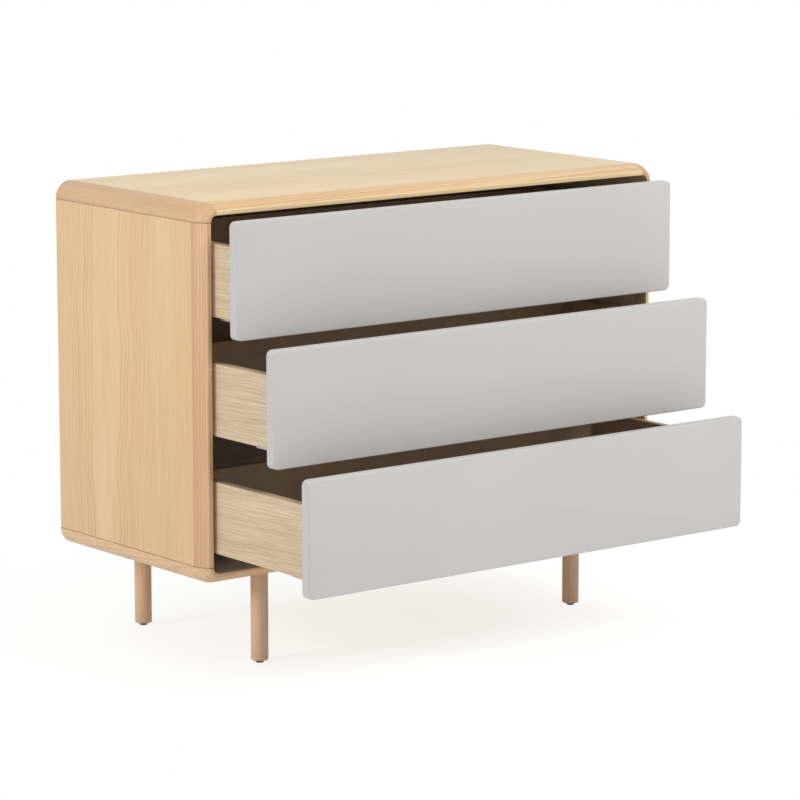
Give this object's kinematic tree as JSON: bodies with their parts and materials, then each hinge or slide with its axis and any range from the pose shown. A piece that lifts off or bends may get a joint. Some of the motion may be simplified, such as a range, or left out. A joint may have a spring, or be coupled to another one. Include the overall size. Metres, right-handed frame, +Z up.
{
  "type": "chest of drawers",
  "caption": "Low chest of drawers: rounded pale-ash case on round legs, flush handleless grey fronts, boxes sliding on hidden full-extension undermount runners.",
  "frame": {"origin": "on the floor, at the middle of the box that holds the chest with its drawers open as pictured", "axes": "+X to the right seen from the front, +Y towards the back, +Z up"},
  "size_m": [0.99, 0.6914, 0.7945],
  "materials": {
    "ash_top": "satin lacquer",
    "ash_side": "satin lacquer",
    "ash_solid": "satin lacquer",
    "leg_wood": "satin lacquer",
    "brown_board": "matt brown board",
    "box_veneer": "matt lacquer",
    "grey_lacquer": "matt grey lacquer on board",
    "zinc_steel": "zinc plated",
    "dark_plastic": "moulded",
    "grey_plastic": "moulded"
  },
  "bodies": {
    "case": {"top_panel": "ash_top", "top_front_lipping": "ash_solid", "bottom_panel": "ash_top", "bottom_front_lipping": "ash_solid", "left_side_panel": "ash_side", "left_side_front_lipping": "ash_solid", "right_side_panel": "ash_side", "right_side_front_lipping": "ash_solid", "top_left_corner": "ash_solid", "top_right_corner": "ash_solid", "bottom_left_corner": "ash_solid", "bottom_right_corner": "ash_solid", "back_panel": "ash_side", "front_left_leg": "leg_wood", "front_left_glide": "dark_plastic", "front_right_leg": "leg_wood", "front_right_glide": "dark_plastic", "rear_left_leg": "leg_wood", "rear_left_glide": "dark_plastic", "rear_right_leg": "leg_wood", "rear_right_glide": "dark_plastic", "top_drawer_left_case_rail": "zinc_steel", "top_drawer_right_case_rail": "zinc_steel", "middle_drawer_left_case_rail": "zinc_steel", "middle_drawer_right_case_rail": "zinc_steel", "bottom_drawer_left_case_rail": "zinc_steel", "bottom_drawer_right_case_rail": "zinc_steel"},
    "top_drawer": {"top_drawer_front": "grey_lacquer", "top_drawer_left_side": "box_veneer", "top_drawer_right_side": "box_veneer", "top_drawer_back": "brown_board", "top_drawer_bottom": "brown_board", "top_drawer_left_rail": "zinc_steel", "top_drawer_left_clip": "grey_plastic", "top_drawer_right_rail": "zinc_steel", "top_drawer_right_clip": "grey_plastic"},
    "top_drawer_sliders": {"top_drawer_left_slider": "zinc_steel", "top_drawer_right_slider": "zinc_steel"},
    "middle_drawer": {"middle_drawer_front": "grey_lacquer", "middle_drawer_left_side": "box_veneer", "middle_drawer_right_side": "box_veneer", "middle_drawer_back": "brown_board", "middle_drawer_bottom": "brown_board", "middle_drawer_left_rail": "zinc_steel", "middle_drawer_left_clip": "grey_plastic", "middle_drawer_right_rail": "zinc_steel", "middle_drawer_right_clip": "grey_plastic"},
    "middle_drawer_sliders": {"middle_drawer_left_slider": "zinc_steel", "middle_drawer_right_slider": "zinc_steel"},
    "bottom_drawer": {"bottom_drawer_front": "grey_lacquer", "bottom_drawer_left_side": "box_veneer", "bottom_drawer_right_side": "box_veneer", "bottom_drawer_back": "brown_board", "bottom_drawer_bottom": "brown_board", "bottom_drawer_left_rail": "zinc_steel", "bottom_drawer_left_clip": "grey_plastic", "bottom_drawer_right_rail": "zinc_steel", "bottom_drawer_right_clip": "grey_plastic"},
    "bottom_drawer_sliders": {"bottom_drawer_left_slider": "zinc_steel", "bottom_drawer_right_slider": "zinc_steel"}
  },
  "joints": [
    {"name": "top_drawer_slide", "type": "slide", "parent": "case", "child": "top_drawer", "axis": [0, -1, 0], "range_m": [-0.0656, 0.2794]},
    {"name": "top_drawer_slider_slide", "type": "slide", "parent": "case", "child": "top_drawer_sliders", "axis": [0, -1, 0], "range_m": [-0.0331, 0.14]},
    {"name": "middle_drawer_slide", "type": "slide", "parent": "case", "child": "middle_drawer", "axis": [0, -1, 0], "range_m": [-0.1647, 0.1803]},
    {"name": "middle_drawer_slider_slide", "type": "slide", "parent": "case", "child": "middle_drawer_sliders", "axis": [0, -1, 0], "range_m": [-0.08265, 0.09045]},
    {"name": "bottom_drawer_slide", "type": "slide", "parent": "case", "child": "bottom_drawer", "axis": [0, -1, 0], "range_m": [-0.2584, 0.0866]},
    {"name": "bottom_drawer_slider_slide", "type": "slide", "parent": "case", "child": "bottom_drawer_sliders", "axis": [0, -1, 0], "range_m": [-0.1295, 0.0436]}
  ],
  "couplings": [
    {"joint": "top_drawer_slider_slide", "follows": "top_drawer_slide", "ratio": 0.5},
    {"joint": "middle_drawer_slider_slide", "follows": "middle_drawer_slide", "ratio": 0.5},
    {"joint": "bottom_drawer_slider_slide", "follows": "bottom_drawer_slide", "ratio": 0.5}
  ]
}
